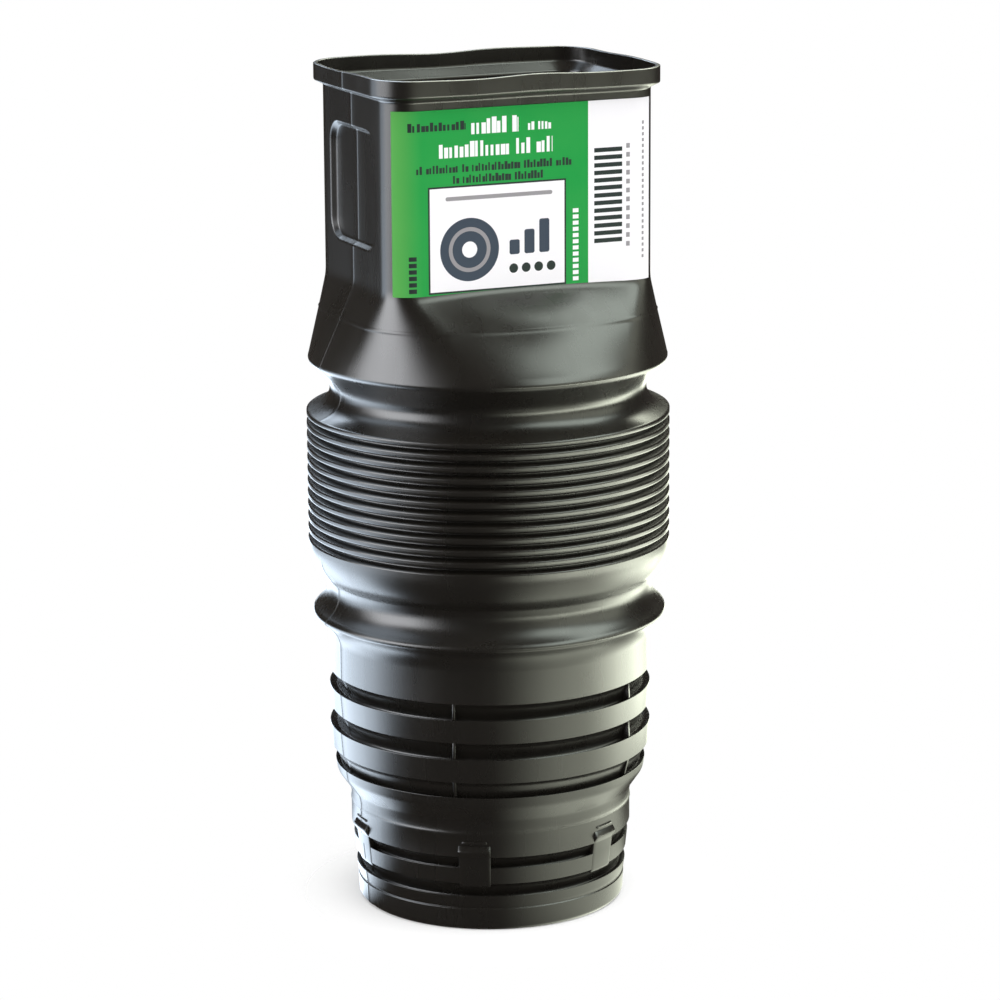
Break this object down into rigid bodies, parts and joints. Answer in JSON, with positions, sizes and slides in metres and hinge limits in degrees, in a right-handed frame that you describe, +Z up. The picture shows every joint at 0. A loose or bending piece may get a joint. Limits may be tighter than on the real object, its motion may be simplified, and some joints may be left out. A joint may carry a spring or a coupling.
{
  "type": "downspout adapter",
  "caption": "Rectangular gutter socket that flares into a round folding bellows tube with barbs and a catch-ringed spigot, open at both ends, with a printed label on the socket",
  "frame": {"origin": "centre of the foot of the spigot, on the surface the adapter stands on", "axes": "+Z up the tube from the spigot to the rectangular socket, X along the long side of the socket, -Y out of the face that carries the label"},
  "size_m": [0.1016, 0.1016, 0.2376],
  "materials": {
    "adapter_body": "satin gloss, blow-moulded black polyethylene",
    "label": "printed gloss film in green and white"
  },
  "bodies": {
    "root": {"adapter_body": "adapter_body", "label": "label"}
  },
  "joints": []
}
